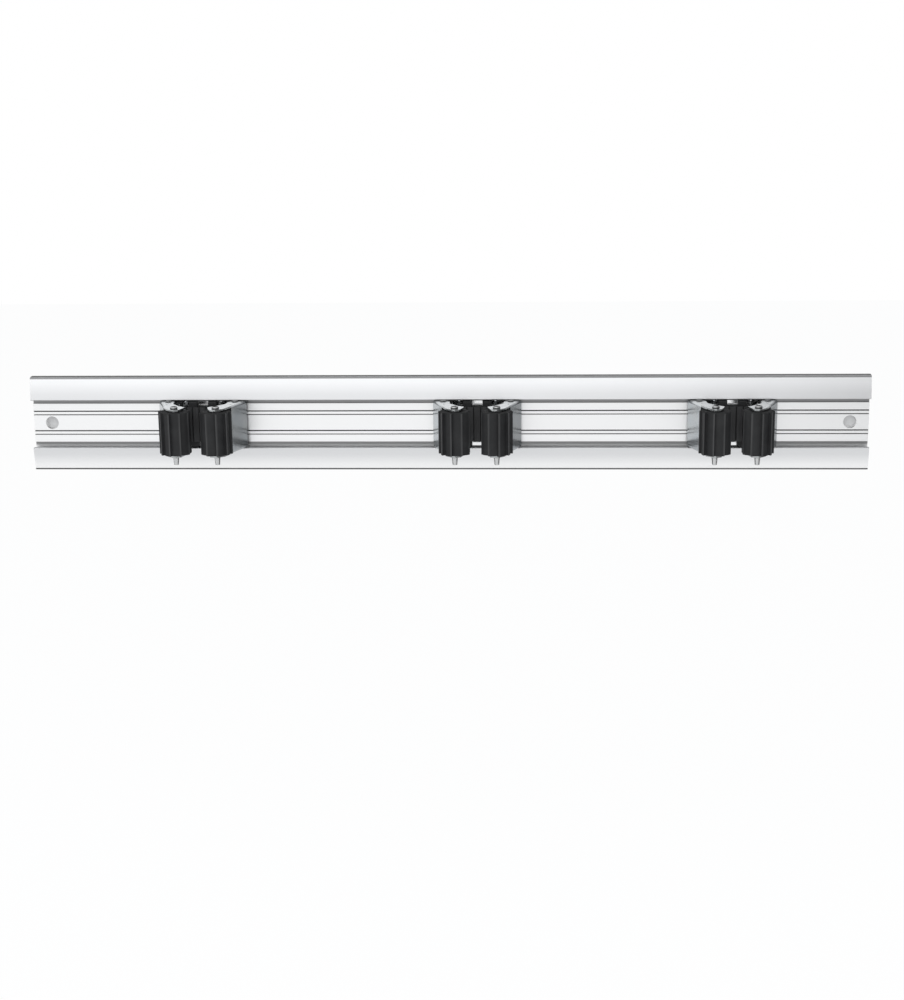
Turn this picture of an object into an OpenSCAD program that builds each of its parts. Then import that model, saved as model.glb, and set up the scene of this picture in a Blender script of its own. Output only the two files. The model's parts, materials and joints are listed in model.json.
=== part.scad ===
// Wall rack for long tool handles: a slotted rail in which three sprung roller holders slide.
// X runs along the rail and Z points up. The wall is the plane Y = 0, and the front faces -Y.
// A value that ends in _d is a distance from the wall. One that ends in _half is measured from
// the rail's middle line, or from a holder's middle plane, and is the same on both sides of it.

/* [Rail] */
// Length of the rail
rail_length = 500; // [480:10:900]
// Height of the rail
rail_height = 56.8; // [50:0.2:80]
// Wall of the rail's floor and of its hollow edges
rail_wall = 1.5; // [1.2:0.1:2]
// Step from the slot floor to the land in the middle
land_rise = 1; // [0.6:0.1:1.6]
// Width of the dark groove between the land and a lip's edge
groove_width = 2.8; // [2:0.1:4]
// Distance of a slide rib from the middle line
rib_offset = 6; // [5.6:0.1:7]
// Width of a slide rib
rib_width = 1.5; // [1.2:0.1:2.4]
// Height of a slide rib above the land
rib_rise = 0.5; // [0.3:0.1:0.9]
// Width of the fine groove on each side of a rib
rib_groove = 0.5; // [0.3:0.1:0.8]
// Depth of that groove below the land
rib_groove_depth = 0.8; // [0.4:0.1:1]
// How far a lip reaches over the slot
lip_reach = 3; // [2:0.1:4]
// Thickness of a lip at its free edge
lip_thickness = 3.2; // [2.6:0.1:4]
// How far the front face falls back towards the rail's outer edge
face_fall = 2.2; // [1:0.1:2.6]
// Radius along the outer front edge
edge_radius = 1.4; // [0.6:0.1:2]
// Radius of a wall screw hole
hole_radius = 3.9; // [2.5:0.1:4.2]
// Distance of an outer screw hole from the rail's end
outer_hole_inset = 11; // [8:1:30]
// Distance of an inner screw hole from the rail's end
inner_hole_inset = 80; // [60:5:110]

/* [Holder places] */
// Distance of the left holder from the rail's left end
left_holder_inset = 104.4; // [60:0.2:120]
// Distance of the centre holder from the rail's middle
centre_holder_offset = 18.7; // [-20:0.1:30]
// Distance of the right holder from the rail's right end
right_holder_inset = 80.6; // [60:0.2:110]

/* [Rollers] */
// Radius over the tips of a roller's teeth
roller_radius = 10; // [8.4:0.1:11]
// Height of a roller
roller_height = 26; // [22:0.2:32]
// Number of teeth round a roller
roller_teeth = 9; // [7:1:12]
// Depth of a tooth
tooth_depth = 1.8; // [0.6:0.1:2.2]
// Angle of the first tooth's step from straight ahead
tooth_turn = -6; // [-20:1:20]
// Chamfer on the tips of the teeth at both ends
roller_chamfer = 0.3; // [0.2:0.1:1]
// Gap between the two rollers of a closed holder
roller_gap = 4.5; // [4.5:0.1:8]
// Wall of the bush in a roller
bush_wall = 1.15; // [0.8:0.05:1.6]

/* [Arms] */
// Distance from an arm's pivot to its roller
arm_reach = 23.3; // [21:0.1:28]
// Angle by which a closed arm leans inwards
arm_lean = 19.5; // [14:0.5:25]
// Sheet that the arms are folded from
arm_sheet = 1; // [0.8:0.1:1.3]
// Outer radius of the folds along an arm's back
arm_fold = 1.5; // [1.3:0.1:1.8]
// How far an arm's back reaches behind its pivot
arm_heel = 5; // [4.2:0.1:5.2]
// Width of the ear beside the roller pin, on the inner side
ear_beak = 6.6; // [4.5:0.1:7]
// How far the ear reaches in front of the roller pin
ear_nose = 4.8; // [3:0.1:5.4]

/* [Base] */
// Sheet that the base is pressed from
base_sheet = 1.5; // [1.2:0.1:2]
// How far the base reaches past the lugs' round edges
base_overhang = 0.3; // [0.1:0.1:1]
// Half the width of the wings that run behind the lips
wing_half_width = 14.5; // [12.8:0.1:15]
// Thickness of the two walls that hold the buffer
cradle_wall = 1; // [0.8:0.1:1.5]
// How far the cradle walls stand out of the base
cradle_rise = 3.6; // [2.5:0.1:4]

/* [Buffer] */
// Width of the rubber buffer
buffer_width = 20.6; // [18:0.2:21]
// Height of the rubber buffer
buffer_height = 21; // [18:0.5:22]
// How far the buffer's ribs stand out of the base
buffer_rise = 4.4; // [3.6:0.1:5]
// Number of upright ribs on the buffer
buffer_ribs = 5; // [3:1:7]
// Depth of the grooves between the buffer's ribs
buffer_groove = 1; // [0.5:0.1:1.4]
// Width of one of the buffer's four horns
horn_width = 5.2; // [4:0.1:5.6]
// Gap between the two horns on one side
horn_gap = 6.4; // [6:0.2:8]
// Radius of the two plugs on the buffer's back
plug_radius = 2.5; // [2:0.1:3]

/* [Pins and springs] */
// Radius of a pivot pin
pivot_pin_radius = 1.5; // [1.2:0.1:1.6]
// Radius of a roller pin
roller_pin_radius = 1.8; // [1.5:0.1:2]
// How far a pin's head stands out round its shank
pin_head_rim = 0.4; // [0.3:0.1:0.7]
// Thickness of a roller pin's head
roller_head_height = 1.2; // [0.8:0.1:1.5]
// Thickness of a pivot pin's flat head
pivot_head_height = 0.5; // [0.4:0.1:0.9]
// Length of a roller pin's tail below the arm
tail_length = 5; // [3:0.5:7]
// Radius at the tip of the tail
tail_tip_radius = 1.4; // [1:0.1:1.5]
// Wire radius of a torsion spring
wire_radius = 0.4; // [0.3:0.05:0.5]
// Turns in a torsion spring
spring_turns = 6; // [3:1:8]
// Rise of a torsion spring for each turn
spring_pitch = 1.7; // [1.5:0.05:1.9]
// Distance of the spring's upper end from the pivot, along the arm
spring_leg = 9; // [7:0.5:10]

/* [Clearances] */
// Running clearance of a pin in its hole
running_gap = 0.05; // [0.02:0.01:0.1]
// Clearance of a part that is pressed or plugged into another
seat_gap = 0.02; // [0.01:0.01:0.05]
// Gap between the base's back and the slide ribs
slide_gap = 0.1; // [0.05:0.05:0.3]
// Gap between the base's front and the lips
lip_play = 0.2; // [0.1:0.05:0.4]
// Gap between a wing's end and the slot's side
wing_gap = 0.5; // [0.3:0.1:0.8]
// Gap between an arm and a lip's edge
lip_gap = 0.3; // [0.3:0.05:1]
// Gap between a roller's end and an arm's ear
roller_play = 0.25; // [0.2:0.05:0.6]
// Gap between a lug and an arm's ear
lug_gap = 0.15; // [0.1:0.05:0.3]
// Gap between a lug's stop and an arm's back in the closed position
stop_gap = 0.1; // [0.05:0.05:0.2]
// Gap between a spring's coil and the pin inside it
coil_gap = 0.15; // [0.1:0.05:0.25]
// Gap between a spring's coil and an arm's back
back_gap = 1.35; // [1:0.05:1.6]
// Gap between a pin's head and a lip
head_gap = 0.6; // [0.3:0.05:0.8]
// Gap between a pin's head and the ear below it
head_play = 0.1; // [0.05:0.05:0.2]
// Gap between a roller's teeth and the end of an arm's back
back_end_gap = 0.8; // [0.6:0.1:1.2]
// Gap between a lug's round edge and an arm's back
lug_back_gap = 0.5; // [0.4:0.1:0.8]
// Gap between the buffer's horns and the lips
horn_lip_gap = 0.4; // [0.3:0.1:0.8]
// Gap between the cradle walls and the lips
cradle_lip_gap = 1.1; // [0.8:0.1:1.5]
// Clearance round a spring's end in its hole
wire_hole_gap = 0.2; // [0.1:0.05:0.2]
// How far a spring's end stays inside the sheet that holds it
wire_end_inset = 0.3; // [0.1:0.1:0.5]

/* [Hidden] */
$fn = 64;
SIDES = [-1, 1];
SIDE_NAMES = ["left", "right"];
HOLDERS = [0, 1, 2];
HOLDER_X = [
    left_holder_inset - rail_length / 2,
    centre_holder_offset,
    rail_length / 2 - right_holder_inset
];
SIDED_PARTS = ["arm", "pivot_pin", "spring", "roller", "roller_bush", "roller_pin"];

// Radius of the rail's small inner and outer corners
fillet = 0.4;

// Half heights, from the rollers outwards
roller_half = roller_height / 2;
ear_in_half = roller_half + roller_play;
ear_out_half = ear_in_half + arm_sheet;
lug_out_half = ear_in_half - lug_gap;
lug_in_half = lug_out_half - base_sheet;
opening_half = ear_out_half + lip_gap;
pocket_half = opening_half + lip_reach;
wing_half = pocket_half - wing_gap;
land_half = opening_half - groove_width;
horn_half = opening_half - horn_lip_gap;
cradle_half = opening_half - cradle_lip_gap;

// Depths, from the wall outwards
floor_d = rail_wall;
land_d = floor_d + land_rise;
rib_d = land_d + rib_rise;
base_back_d = rib_d + slide_gap;
base_front_d = base_back_d + base_sheet;
lip_back_d = base_front_d + lip_play;
lip_front_d = lip_back_d + lip_thickness;
edge_d = lip_front_d - face_fall;
pivot_head_radius = pivot_pin_radius + pin_head_rim;
roller_head_radius = roller_pin_radius + pin_head_rim;
pivot_d = lip_front_d + head_gap + pivot_head_radius;
buffer_front_d = base_front_d + buffer_rise;
spring_seat_d = base_back_d + wire_end_inset;

// Places across a holder
roller_x = roller_radius + roller_gap / 2;
pivot_x = roller_x + arm_reach * sin(arm_lean);
roller_d = pivot_d + arm_reach * cos(arm_lean);
buffer_half = buffer_width / 2;
cradle_in = buffer_half + seat_gap;
cradle_out = cradle_in + cradle_wall;

// The arm's back and the spring inside it, measured from the line through pivot and roller
coil_radius = pivot_pin_radius + coil_gap + wire_radius;
back_in = coil_radius + wire_radius + back_gap;
back_out = back_in + arm_sheet;
back_end = arm_reach - sqrt(pow(roller_radius, 2) - pow(back_in, 2)) - back_end_gap;
lug_radius = back_in - lug_back_gap;
base_half = pivot_x + lug_radius + base_overhang;
coil_low = -spring_turns * spring_pitch / 2;
wire_hole_radius = wire_radius + wire_hole_gap;
bush_radius = roller_pin_radius + running_gap + bush_wall;

function holder_node(i, part) = str("holder", i + 1, "_", part);
function sided_node(i, part, side) = str(holder_node(i, part), "_", SIDE_NAMES[(side + 1) / 2]);
function unit(v) = v / norm(v);
function flat(v) = [v.x, v.y];

// An outline is a list of corners [x, y, radius]. This gives its points, with the corners rounded.
function rounded(corners, steps = 5) = [
    for (i = [0:len(corners) - 1])
        let (
            count = len(corners),
            before = flat(corners[(i + count - 1) % count]),
            here = flat(corners[i]),
            after = flat(corners[(i + 1) % count]),
            radius = corners[i][2]
        )
        each radius == 0 ? [here] : round_corner(before, here, after, radius, steps)
];

function round_corner(before, here, after, radius, steps) =
    let (
        back = unit(before - here),
        ahead = unit(after - here),
        half_angle = acos(max(-1, min(1, back * ahead))) / 2,
        centre = here + unit(back + ahead) * radius / sin(half_angle),
        first = here + back * radius / tan(half_angle) - centre,
        last = here + ahead * radius / tan(half_angle) - centre,
        start = atan2(first.y, first.x),
        swept = atan2(first.x * last.y - first.y * last.x, first * last)
    )
    [for (k = [0:steps]) centre + radius * [cos(start + swept * k / steps), sin(start + swept * k / steps)]];

// Puts an outline drawn as [x, distance from the wall] at its place, upright from z = low to high
module upright(low, high) {
    translate([0, 0, low]) linear_extrude(high - low) mirror([0, 1]) children();
}

// Puts an outline drawn as [distance from the wall, z] at its place, from x = low to high
module along_rail(low, high) {
    translate([low, 0, 0]) rotate([90, 0, 90]) linear_extrude(high - low) mirror([1, 0]) children();
}

// Draws what is upright at z > 0 on both sides of the middle line
module above_and_below() {
    children();
    mirror([0, 0, 1]) children();
}

// Draws a left-hand piece, or its mirror image for the right-hand side
module on_side(side) {
    mirror([side > 0 ? 1 : 0, 0, 0]) children();
}

// The arm's own frame: x is outwards from the line of pivot and roller, y is towards the roller
module arm_frame() {
    translate([-pivot_x, -pivot_d, 0]) rotate(180 + arm_lean) children();
}

// One of the rail's two front edges, from its lip to the rounded outer corner
module rail_edge_outline() {
    top = rail_height / 2;
    polygon(rounded([
        [0, pocket_half, 0],
        [lip_back_d, pocket_half, 0],
        [lip_back_d, opening_half, fillet],
        [lip_front_d, opening_half, fillet],
        [edge_d, top, edge_radius],
        [0, top, fillet]
    ]));
}

// The hollow inside that edge
module rail_hollow_outline() {
    low = pocket_half + rail_wall;
    high = rail_height / 2 - rail_wall;
    slope = face_fall / (rail_height / 2 - opening_half);
    front_low = lip_front_d - rail_wall - slope * (low - opening_half);
    front_high = lip_front_d - rail_wall - slope * (high - opening_half);
    polygon(rounded([
        [floor_d, low, fillet],
        [floor_d, high, fillet],
        [front_high, high, fillet],
        [front_low, low, fillet]
    ]));
}

module rail_half_outline() {
    difference() {
        union() {
            translate([0, -1]) square([floor_d, pocket_half + rail_wall / 2 + 1]);
            translate([0, -1]) square([land_d, land_half + 1]);
            translate([0, rib_offset - rib_width / 2]) square([rib_d, rib_width]);
            rail_edge_outline();
        }
        rail_hollow_outline();
        for (side = SIDES)
            translate([land_d - rib_groove_depth, rib_offset + side * (rib_width + rib_groove) / 2])
                translate([0, -rib_groove / 2]) square([rib_groove_depth + 1, rib_groove]);
    }
}

module screw_hole(x) {
    translate([x, -land_d - 1, 0]) rotate([-90, 0, 0]) cylinder(r = hole_radius, h = land_d + 2);
}

module rail() {
    color("#c9cbd1")
    difference() {
        along_rail(-rail_length / 2, rail_length / 2) {
            rail_half_outline();
            mirror([0, 1]) rail_half_outline();
        }
        for (side = SIDES, inset = [outer_hole_inset, inner_hole_inset])
            screw_hole(side * (rail_length / 2 - inset));
    }
}

// One lug of the base, seen from above: round at the pivot, with the stop that the closed arm meets
module lug_outline() {
    stop_low = 0.6;
    stop_high = 3.8;
    heel_room = 0.7;
    translate([-pivot_x, pivot_d]) circle(r = lug_radius);
    translate([-pivot_x - lug_radius + heel_room, base_back_d])
        square([2 * lug_radius - heel_room, pivot_d - base_back_d]);
    mirror([0, 1]) arm_frame() translate([0, stop_low]) square([back_in - stop_gap, stop_high - stop_low]);
}

// The folded sheet that the lugs are cut from, as [distance from the wall, z]
module lug_fold_outline() {
    front = pivot_d + lug_radius + 1;
    bend = 0.4;
    polygon(rounded([
        [base_back_d, 0, 0],
        [base_back_d, lug_out_half, base_sheet + bend],
        [front, lug_out_half, 0],
        [front, lug_in_half, 0],
        [base_front_d, lug_in_half, bend],
        [base_front_d, 0, 0]
    ]));
}

module base_lug() {
    relief = 0.6;
    above_and_below() intersection() {
        along_rail(-base_half, -wing_half_width - relief) lug_fold_outline();
        upright(0, lug_out_half + 1) union() {
            lug_outline();
            translate([-base_half, 0]) square([base_half, base_front_d]);
        }
    }
}

module base_plate() {
    corner = 1.5;
    translate([0, -base_back_d, 0]) rotate([90, 0, 0]) linear_extrude(base_sheet) union() {
        square([2 * (base_half - 2), 2 * (lug_out_half - 2.4)], center = true);
        polygon(rounded([
            [-wing_half_width, -wing_half, corner],
            [wing_half_width, -wing_half, corner],
            [wing_half_width, wing_half, corner],
            [-wing_half_width, wing_half, corner]
        ]));
    }
}

module base() {
    cradle_d = base_front_d + cradle_rise;
    root_d = base_back_d + 0.2;
    slot_half = horn_gap / 2 - 0.4;
    slot_height = 0.7;
    color("#b9c0c4")
    difference() {
        union() {
            base_plate();
            for (side = SIDES) on_side(side) {
                base_lug();
                upright(-cradle_half, cradle_half) polygon(rounded([
                    [-cradle_out, root_d, 0],
                    [-cradle_out, cradle_d, 0.3],
                    [-cradle_in, cradle_d, 0.3],
                    [-cradle_in, root_d, 0]
                ]));
            }
        }
        for (side = SIDES) on_side(side) {
            translate([-pivot_x, -pivot_d, -opening_half])
                cylinder(r = pivot_pin_radius + seat_gap, h = 2 * opening_half);
            translate([-pivot_x - coil_radius, -base_front_d - 1, coil_low]) rotate([-90, 0, 0])
                cylinder(r = wire_hole_radius, h = base_sheet + 2);
        }
        for (up = SIDES) {
            translate([0, -base_front_d - 1, up * buffer_height / 4]) rotate([-90, 0, 0])
                cylinder(r = plug_radius + seat_gap, h = base_sheet + 2);
            translate([-slot_half, -base_front_d - 1, up * (buffer_height / 2 + 1) - slot_height / 2])
                cube([2 * slot_half, base_sheet + 2, slot_height]);
        }
    }
}

// The buffer seen from above: a flat back and a front of rounded upright ribs
module buffer_outline() {
    pitch = buffer_width / buffer_ribs;
    root = buffer_front_d - buffer_groove;
    steps = 6;
    ribs = [
        for (rib = [0:buffer_ribs - 1], k = [0:steps])
            let (across = 0.08 + 0.84 * k / steps)
            [buffer_half - pitch * (rib + across), root + buffer_groove * sqrt(sin(180 * k / steps))]
    ];
    polygon(concat([[-buffer_half, base_front_d], [buffer_half, base_front_d]], ribs));
}

module buffer() {
    horn_middle = (horn_gap + horn_width) / 2;
    horn_d = base_front_d + cradle_rise - 0.2;
    color("#26282a") {
        upright(-buffer_height / 2, buffer_height / 2) buffer_outline();
        for (side = SIDES) above_and_below() along_rail(
            side * horn_middle - horn_width / 2,
            side * horn_middle + horn_width / 2
        ) polygon(rounded([
            [base_front_d, buffer_height / 2 - 1, 0],
            [base_front_d, horn_half, 0.3],
            [horn_d, horn_half, 1.2],
            [horn_d, buffer_height / 2 - 1, 0]
        ]));
        for (up = SIDES)
            translate([0, -base_front_d - 0.5, up * buffer_height / 4]) rotate([-90, 0, 0])
                cylinder(r = plug_radius, h = base_sheet + 0.3);
    }
}

// The arm's ear in the arm's own frame: narrow over the pivot, wide at the roller, with a beak
module ear_outline() {
    neck = -1.6;
    neck_place = 8.4;
    bay = 7;
    rim_width = 1.8;
    rim = -(pivot_pin_radius + rim_width);
    fold = back_out - arm_fold;
    polygon(rounded([
        [fold, -arm_heel, 0],
        [fold, back_end, 0],
        [back_out, back_end, 0],
        [back_out, arm_reach - 1, 3.2],
        [back_out - 2.6, arm_reach + ear_nose, 2],
        [-2.2, arm_reach + ear_nose - 0.2, 2],
        [-ear_beak, arm_reach - 2, 0.4],
        [-3.8, arm_reach - bay, 3],
        [neck, neck_place, 4],
        [rim, 2.6, 1.5],
        [rim, rim, 2.4],
        [0.6, -arm_heel, 1]
    ]));
}

// The channel that the arm is folded into, as [x, z] in the arm's own frame
module arm_fold_outline() {
    inner = back_out - arm_fold;
    difference() {
        polygon(rounded([
            [inner - 0.2, -ear_out_half, 0],
            [back_out, -ear_out_half, arm_fold],
            [back_out, ear_out_half, arm_fold],
            [inner - 0.2, ear_out_half, 0]
        ]));
        polygon(rounded([
            [inner - 1, -ear_in_half, 0],
            [back_in, -ear_in_half, arm_fold - arm_sheet],
            [back_in, ear_in_half, arm_fold - arm_sheet],
            [inner - 1, ear_in_half, 0]
        ]));
    }
}

module arm(side) {
    color("#aeb6ba")
    on_side(side) arm_frame() difference() {
        union() {
            above_and_below() translate([0, 0, ear_in_half]) linear_extrude(arm_sheet) ear_outline();
            translate([0, back_end, 0]) rotate([90, 0, 0]) linear_extrude(back_end + arm_heel)
                arm_fold_outline();
        }
        translate([0, 0, -opening_half])
            cylinder(r = pivot_pin_radius + running_gap, h = 2 * opening_half);
        translate([0, arm_reach, -opening_half])
            cylinder(r = roller_pin_radius + running_gap, h = 2 * opening_half);
        translate([coil_radius, spring_leg, 0])
            cylinder(r = wire_hole_radius, h = opening_half);
    }
}

// A pin that holds an arm on the base's lugs, with a flat head at both ends
module pivot_pin(side) {
    seat = ear_out_half + head_play;
    top = seat + pivot_head_height;
    edge = 0.2;
    color("#c4c8cb")
    on_side(side) translate([-pivot_x, -pivot_d, 0]) rotate_extrude() polygon(rounded([
        [0, -top, 0],
        [pivot_head_radius, -top, edge],
        [pivot_head_radius, -seat, 0],
        [pivot_pin_radius, -seat, 0],
        [pivot_pin_radius, seat, 0],
        [pivot_head_radius, seat, 0],
        [pivot_head_radius, top, edge],
        [0, top, 0]
    ], 3));
}

// A tubular pin: a dished head on the upper ear, a rolled bead below the lower one, a hollow tail
module roller_pin(side) {
    top = ear_out_half + roller_head_height;
    dish = roller_pin_radius * 0.65;
    bead = roller_pin_radius + 0.3;
    low = -ear_out_half - tail_length;
    bore = tail_tip_radius - 0.35;
    color("#c4c8cb")
    on_side(side) translate([-roller_x, -roller_d, 0]) rotate_extrude() polygon(rounded([
        [0, low + tail_length * 0.8, 0],
        [bore, low + tail_length * 0.8, 0],
        [bore, low, 0],
        [tail_tip_radius, low, 0.2],
        [roller_pin_radius, -ear_out_half - 1.2, 0],
        [bead, -ear_out_half - 0.7, 0.2],
        [bead, -ear_out_half, 0],
        [roller_pin_radius, -ear_out_half, 0],
        [roller_pin_radius, ear_out_half, 0],
        [roller_head_radius, ear_out_half, 0],
        [roller_head_radius, top, 0.4],
        [dish, top, 0.2],
        [dish * 0.7, top - 0.8, 0],
        [0, top - 0.8, 0]
    ], 3));
}

// The teeth rise gently towards the gap between the rollers and drop back in a sharp step
function tooth_points() = [
    for (tooth = [0:roller_teeth - 1], k = [0:5])
        let (
            pitch = 360 / roller_teeth,
            step = 1.5,
            angle = tooth_turn + tooth * pitch + step + (pitch - step) * k / 5,
            radius = roller_radius - tooth_depth * (1 - k / 5)
        )
        radius * [sin(angle), -cos(angle)]
];

module roller(side) {
    guard = roller_radius + 0.3;
    color("#2b2c2d")
    on_side(side) translate([-roller_x, -roller_d, 0]) difference() {
        intersection() {
            translate([0, 0, -roller_half]) linear_extrude(roller_height) polygon(tooth_points());
            rotate_extrude() polygon([
                [0, -roller_half - 0.1],
                [roller_radius - roller_chamfer, -roller_half - 0.1],
                [guard, -roller_half + roller_chamfer + 0.2],
                [guard, roller_half - roller_chamfer - 0.2],
                [roller_radius - roller_chamfer, roller_half + 0.1],
                [0, roller_half + 0.1]
            ]);
        }
        cylinder(r = bush_radius + seat_gap, h = roller_height + 1, center = true);
    }
}

module roller_bush(side) {
    length = roller_height + roller_play;
    color("#8d9296")
    on_side(side) translate([-roller_x, -roller_d, 0]) difference() {
        cylinder(r = bush_radius, h = length, center = true);
        cylinder(r = roller_pin_radius + running_gap, h = length + 1, center = true);
    }
}

// The wire's route, from its seat in the base, round the pin, along the arm and up into the ear
function spring_path() =
    let (
        rings = 8,
        total = spring_turns * 360 + arm_lean,
        count = ceil(total / 360 * rings),
        along = [sin(arm_lean), -cos(arm_lean), 0],
        coil_high = coil_low + spring_turns * spring_pitch,
        bend = 1,
        leg_start = coil_radius * [cos(180 + arm_lean), sin(180 + arm_lean), 0] + [0, 0, coil_high]
    )
    concat(
        [[-coil_radius, pivot_d - spring_seat_d, coil_low], [-coil_radius, 1.5, coil_low]],
        [
            for (k = [0:count])
                let (angle = 180 + total * k / count, rise = (coil_high - coil_low) * k / count)
                [coil_radius * cos(angle), coil_radius * sin(angle), coil_low + rise]
        ],
        [for (turn = [0:30:90])
            leg_start + along * (spring_leg - bend + bend * sin(turn)) + [0, 0, bend * (1 - cos(turn))]
        ],
        [leg_start + along * spring_leg + [0, 0, ear_out_half - 0.2 - coil_high]]
    );

function directions(path) = [
    for (i = [0:len(path) - 1])
        unit(path[min(i + 1, len(path) - 1)] - path[max(i - 1, 0)])
];

// Carries one normal along the path, so that the tube doesn't twist
function carried(ways, i = 0, normal = [0, 0, 1], done = []) =
    i == len(ways) ? done :
    let (next = unit(normal - (normal * ways[i]) * ways[i]))
    carried(ways, i + 1, next, concat(done, [next]));

module tube(path, radius, sides) {
    ways = directions(path);
    normals = carried(ways);
    last = len(path) - 1;
    points = [
        for (i = [0:last], k = [0:sides - 1])
            let (a = 360 * k / sides)
            path[i] + radius * (normals[i] * cos(a) + cross(ways[i], normals[i]) * sin(a))
    ];
    faces = concat(
        [for (k = [1:sides - 2]) [0, k, k + 1]],
        [
            for (i = [0:last - 1], k = [0:sides - 1])
                let (a = i * sides + k, b = i * sides + (k + 1) % sides)
                each [[a, a + sides, b + sides], [a, b + sides, b]]
        ],
        [for (k = [1:sides - 2]) [last * sides, last * sides + k + 1, last * sides + k]]
    );
    polyhedron(points = points, faces = faces);
}

module spring(side) {
    color("#9aa1a6")
    on_side(side) translate([-pivot_x, -pivot_d, 0]) tube(spring_path(), wire_radius, 6);
}

// The least gap between stretches of the wire that lie at least half a turn apart along it
function least_gap(path, apart = 5) = min([
    for (i = [0:len(path) - 1 - apart], j = [i + apart:len(path) - 1]) norm(path[i] - path[j])
]) - 2 * wire_radius;

echo(least_gap_of_a_spring_to_itself = least_gap(spring_path()));

module sided(part, side) {
    if (part == "arm") arm(side);
    if (part == "pivot_pin") pivot_pin(side);
    if (part == "spring") spring(side);
    if (part == "roller") roller(side);
    if (part == "roller_bush") roller_bush(side);
    if (part == "roller_pin") roller_pin(side);
}

rail();
for (i = HOLDERS) translate([HOLDER_X[i], 0, 0]) {
    base();
    buffer();
    for (part = SIDED_PARTS, side = SIDES)
        sided(part, side);
}
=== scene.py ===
# %% [markdown]
# # A wall mop holder rack, dressed in Blender
# The rack is an aluminium rail, 500 mm long, in which three holders slide. Each holder has a base
# with two sprung arms, and each arm carries a rubber roller. The frame gives the exact solids in
# metres, with X along the rail, Z up and the wall at Y = 0. This lesson gives each piece rounded
# edges, finer round forms and a worked surface, and photographs the rack from above and to the
# right.

# %% Load the frame
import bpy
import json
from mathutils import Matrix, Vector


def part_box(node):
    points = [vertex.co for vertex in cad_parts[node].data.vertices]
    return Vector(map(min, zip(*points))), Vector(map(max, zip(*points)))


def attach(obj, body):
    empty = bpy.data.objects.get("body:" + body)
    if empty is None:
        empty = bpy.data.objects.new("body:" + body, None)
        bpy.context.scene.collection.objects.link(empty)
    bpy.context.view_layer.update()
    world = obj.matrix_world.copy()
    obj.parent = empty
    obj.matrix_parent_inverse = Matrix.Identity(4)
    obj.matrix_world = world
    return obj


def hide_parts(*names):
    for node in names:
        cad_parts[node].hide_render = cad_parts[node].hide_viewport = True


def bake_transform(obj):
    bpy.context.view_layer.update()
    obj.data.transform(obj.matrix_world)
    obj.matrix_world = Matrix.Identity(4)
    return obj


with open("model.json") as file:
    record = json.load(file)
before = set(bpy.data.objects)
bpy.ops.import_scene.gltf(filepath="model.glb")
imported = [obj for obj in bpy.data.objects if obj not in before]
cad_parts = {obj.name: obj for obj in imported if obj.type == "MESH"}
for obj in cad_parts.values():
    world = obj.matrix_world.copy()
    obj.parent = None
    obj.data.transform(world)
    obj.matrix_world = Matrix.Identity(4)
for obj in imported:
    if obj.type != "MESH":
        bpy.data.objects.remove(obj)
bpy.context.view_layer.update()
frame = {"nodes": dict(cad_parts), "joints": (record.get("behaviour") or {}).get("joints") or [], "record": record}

# %% Tools for the whole lesson
import json
import math

import bmesh
import bpy
from mathutils import Matrix, Vector

MM = 0.001


def mm(*values):
    """Measures in mm as a tuple in metres."""
    return tuple(value * MM for value in values)


def new_object(name, data):
    """An object in the scene that shows the given mesh, lamp, curve or camera."""
    made = bpy.data.objects.new(name, data)
    bpy.context.scene.collection.objects.link(made)
    return made


# %% [markdown]
# ## The camera
# The photograph was taken from about a metre, a little above the rail and to its right, so the
# ears of the arms show from above and the right-hand webs show more than the left-hand ones. A
# long lens keeps the rail almost straight, and the camera leans by two thirds of a degree. It is
# made first, so each piece can be judged through it. The Standard view transform shows colours as
# they are written.

# %% Place the camera
camera_data = bpy.data.cameras.new("camera")
camera_data.lens = 63.96
camera_data.sensor_width = 36
camera = new_object("camera", camera_data)
camera.location = mm(60, -1044.5, 208)
turn_left, tilt_down, roll = (math.radians(degrees) for degrees in (3.141, 13.779, -0.685))
aim = Matrix.Rotation(turn_left, 3, "Z") @ Matrix.Rotation(math.pi / 2 - tilt_down, 3, "X")
camera.rotation_euler = (aim @ Matrix.Rotation(roll, 3, "Z")).to_euler()
bpy.context.scene.camera = camera
bpy.context.scene.view_settings.view_transform = "Standard"
print("camera", [round(v, 3) for v in camera.location])

# %% [markdown]
# ## Shader maths written as Python
# A finish could be wired by hand in the shader editor, but it is easier to read and to change as a
# formula. A small class wraps a socket, so that `0.3 + 0.1 * grain` adds the Math nodes by itself.
# A second class makes any other node from its type, its inputs and its settings.

# %% A socket that understands arithmetic
class Value:
    def __init__(self, tree, socket):
        self.tree, self.socket = tree, socket

    def _maths(self, operation, first, second):
        return self.tree.add("ShaderNodeMath", {0: first, 1: second}, operation=operation)

    def __add__(self, other):
        return self._maths("ADD", self, other)

    def __radd__(self, other):
        return self._maths("ADD", other, self)

    def __sub__(self, other):
        return self._maths("SUBTRACT", self, other)

    def __rsub__(self, other):
        return self._maths("SUBTRACT", other, self)

    def __mul__(self, other):
        return self._maths("MULTIPLY", self, other)

    def __rmul__(self, other):
        return self._maths("MULTIPLY", other, self)

    def above(self, edge):
        """1 where the value is more than edge, and 0 elsewhere."""
        return self._maths("GREATER_THAN", self, edge)

    def between(self, low, high):
        """1 where the value is more than low and not more than high, and 0 elsewhere."""
        return self.above(low) * (1 - self.above(high))

    def size(self):
        """The value without its sign."""
        return self._maths("ABSOLUTE", self, 0.0)


# %% A tree of nodes, for the world or a material
def rgb(red, green, blue):
    return (red, green, blue, 1)


def grey(level):
    return rgb(level, level, level)


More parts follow.
